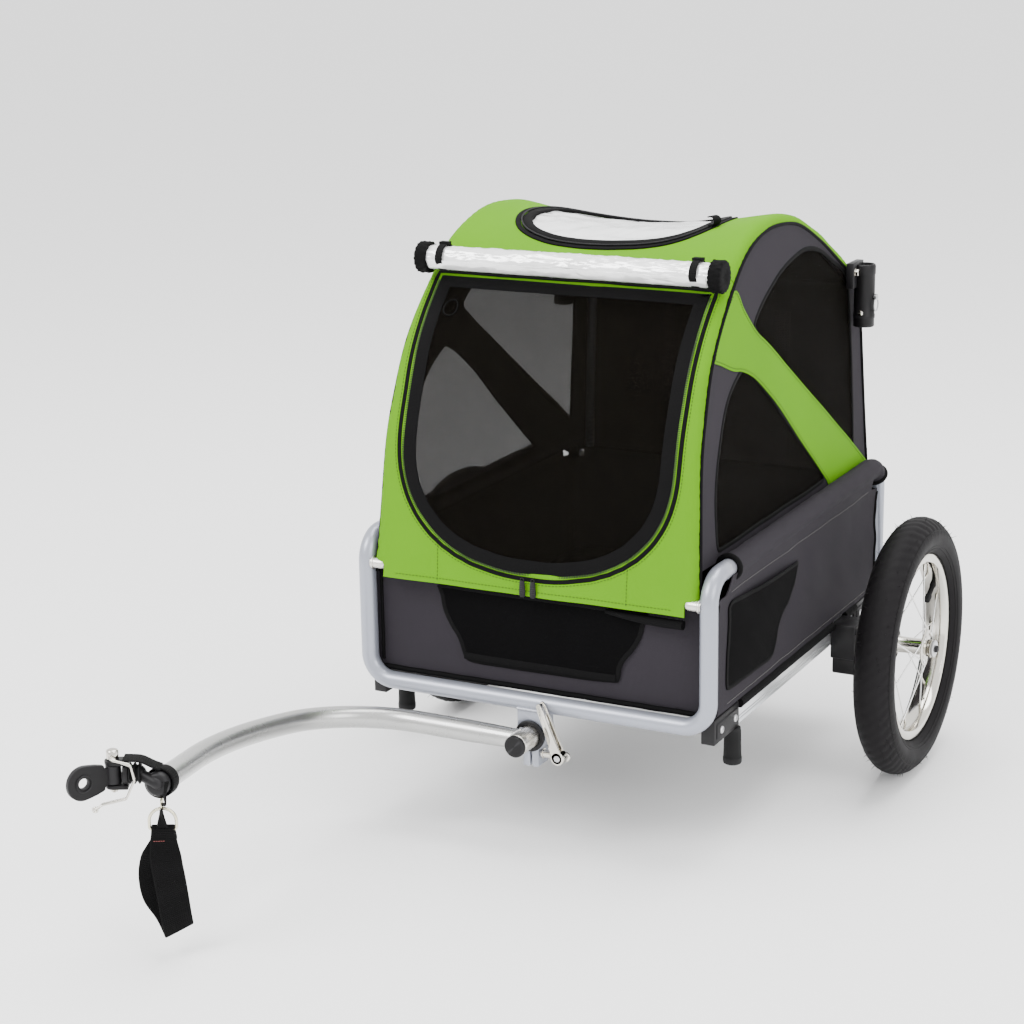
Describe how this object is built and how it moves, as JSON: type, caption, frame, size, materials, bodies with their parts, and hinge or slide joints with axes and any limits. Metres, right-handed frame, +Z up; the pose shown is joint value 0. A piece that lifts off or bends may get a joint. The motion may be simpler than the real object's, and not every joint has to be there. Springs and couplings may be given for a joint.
{
  "type": "bicycle trailer",
  "caption": "Small bicycle trailer: fabric cabin with mesh door and roof hatch on a tube frame, spoked wheels, curved towbar and axle hitch.",
  "frame": {"origin": "on the ground, below the middle of the whole object's bounding box; both tyres touch z = 0", "axes": "+X to the right-hand wheel (the towbar reaches towards -X), -Y towards the front and the hitch, +Z up"},
  "size_m": [0.6836, 1.0497, 0.6911],
  "materials": {
    "frame_silver": "painted",
    "alloy": "satin",
    "chrome": "polished",
    "steel": "satin",
    "zinc": "satin",
    "tyre_rubber": "matte",
    "black_plastic": "matte",
    "green_fabric": "woven",
    "grey_fabric": "woven",
    "black_mesh": "mesh",
    "clear_vinyl": "glossy",
    "black_fabric": "woven",
    "floor_board": "matte",
    "webbing": "woven"
  },
  "bodies": {
    "chassis": {"front_frame": "frame_silver", "rear_frame": "frame_silver", "tow_bracket": "frame_silver", "top_rail_left": "frame_silver", "top_rail_right": "frame_silver", "canopy_hoop_left": "frame_silver", "canopy_hoop_right": "frame_silver", "rail_sleeve_left": "grey_fabric", "rail_sleeve_right": "grey_fabric", "side_panel_left": "grey_fabric", "side_panel_right": "grey_fabric", "rear_panel": "grey_fabric", "tub": "grey_fabric", "bottom_rail_left": "alloy", "bottom_rail_right": "alloy", "corner_block_front_left": "black_plastic", "corner_block_front_right": "black_plastic", "corner_block_rear_left": "black_plastic", "corner_block_rear_right": "black_plastic", "front_foot_left": "black_plastic", "front_foot_right": "black_plastic", "axle_block_left": "black_plastic", "axle_block_right": "black_plastic", "handle_socket_left": "black_plastic", "handle_socket_right": "black_plastic", "clamp_bush": "black_plastic", "axle_left": "steel", "axle_right": "steel", "clamp_bolt": "steel", "front_panel": "green_fabric", "roof_panel": "green_fabric", "cover_roll": "clear_vinyl", "floor_mat": "black_fabric", "floor_board": "floor_board"},
    "wheel_left": {"tyre_left": "tyre_rubber", "rim_left": "chrome", "hub_left": "chrome", "bearing_set_left": "steel"},
    "wheel_right": {"tyre_right": "tyre_rubber", "rim_right": "chrome", "hub_right": "chrome", "bearing_set_right": "steel"},
    "button_left": {"release_button_left": "black_plastic"},
    "button_right": {"release_button_right": "black_plastic"},
    "towbar": {"towbar": "frame_silver", "stub_cap": "black_plastic", "bar_neck": "steel"},
    "cam_lever": {"cam_lever": "chrome"},
    "coupler": {"coupler": "black_plastic"},
    "hitch_plate": {"hitch_plate": "black_plastic"},
    "hitch_pin": {"hitch_pin": "chrome"},
    "pin_bail": {"pin_bail": "chrome"},
    "strap_ring": {"strap_ring": "zinc"},
    "safety_strap": {"safety_strap": "webbing"},
    "front_door": {"front_door": "black_mesh"},
    "roof_hatch": {"roof_hatch": "clear_vinyl"},
    "zip_pull_1": {"zip_pull_1": "black_plastic"},
    "zip_pull_2": {"zip_pull_2": "black_plastic"},
    "socket_pin_left": {"socket_pin_left": "steel"},
    "socket_pin_right": {"socket_pin_right": "steel"}
  },
  "joints": [
    {"name": "wheel_left_spin", "type": "hinge", "parent": "chassis", "child": "wheel_left", "pos_m": [-0.3062, 0.36735, 0.1575], "axis": [1, 0, 0], "continuous": true},
    {"name": "button_left_press", "type": "slide", "parent": "chassis", "child": "button_left", "axis": [1, 0, 0], "range_m": [0, 0.003], "stiffness_N_per_m": 400, "springref_m": -0.001},
    {"name": "socket_pin_left_pull", "type": "slide", "parent": "chassis", "child": "socket_pin_left", "axis": [-1, 0, 0], "range_m": [0, 0.012], "stiffness_N_per_m": 200, "springref_m": -0.001},
    {"name": "wheel_right_spin", "type": "hinge", "parent": "chassis", "child": "wheel_right", "pos_m": [0.3062, 0.36735, 0.1575], "axis": [1, 0, 0], "continuous": true},
    {"name": "button_right_press", "type": "slide", "parent": "chassis", "child": "button_right", "axis": [-1, 0, 0], "range_m": [0, 0.003], "stiffness_N_per_m": 400, "springref_m": -0.001},
    {"name": "socket_pin_right_pull", "type": "slide", "parent": "chassis", "child": "socket_pin_right", "axis": [1, 0, 0], "range_m": [0, 0.012], "stiffness_N_per_m": 200, "springref_m": -0.001},
    {"name": "towbar_swing", "type": "hinge", "parent": "chassis", "child": "towbar", "pos_m": [0, -0.06265, 0.1355], "axis": [0, 1, 0], "range_deg": [0, 75]},
    {"name": "clamp_lever_turn", "type": "hinge", "parent": "chassis", "child": "cam_lever", "pos_m": [0.0395, -0.0555, 0.1185], "axis": [0, 1, 0], "range_deg": [0, 120]},
    {"name": "hitch_pitch", "type": "hinge", "parent": "towbar", "child": "coupler", "pos_m": [-0.23015, -0.46423, 0.20265], "axis": [0.4623, -0.8867, 0], "range_deg": [-25, 25], "stiffness_Nm_per_rad": 4},
    {"name": "hitch_yaw", "type": "hinge", "parent": "coupler", "child": "hitch_plate", "pos_m": [-0.25232, -0.47579, 0.20715], "axis": [0, 0, 1], "range_deg": [-60, 50]},
    {"name": "hitch_pin_pull", "type": "slide", "parent": "coupler", "child": "hitch_pin", "axis": [0, 0, 1], "range_m": [0, 0.035]},
    {"name": "pin_bail_turn", "type": "hinge", "parent": "hitch_pin", "child": "pin_bail", "pos_m": [-0.25232, -0.47579, 0.22325], "axis": [0.4623, -0.8867, 0], "range_deg": [0, 35]},
    {"name": "ring_swing", "type": "hinge", "parent": "towbar", "child": "strap_ring", "pos_m": [-0.21564, -0.44806, 0.16085], "axis": [0.8867, 0.4623, 0], "range_deg": [-45, 45]},
    {"name": "strap_swing", "type": "hinge", "parent": "strap_ring", "child": "safety_strap", "pos_m": [-0.21564, -0.44806, 0.13825], "axis": [0.8867, 0.4623, 0], "range_deg": [-30, 30]},
    {"name": "front_door_open", "type": "hinge", "parent": "chassis", "child": "front_door", "pos_m": [0, 0.07472, 0.629], "axis": [-1, 0, 0], "range_deg": [0, 60]},
    {"name": "roof_hatch_open", "type": "hinge", "parent": "chassis", "child": "roof_hatch", "pos_m": [0, 0.29985, 0.676], "axis": [-1, 0, 0], "range_deg": [0, 95]},
    {"name": "zip_pull_1_swing", "type": "hinge", "parent": "chassis", "child": "zip_pull_1", "pos_m": [-0.0065, -0.04884, 0.3205], "axis": [-1, 0, 0], "range_deg": [0, 80]},
    {"name": "zip_pull_2_swing", "type": "hinge", "parent": "chassis", "child": "zip_pull_2", "pos_m": [0.0065, -0.04884, 0.3205], "axis": [-1, 0, 0], "range_deg": [0, 80]}
  ]
}
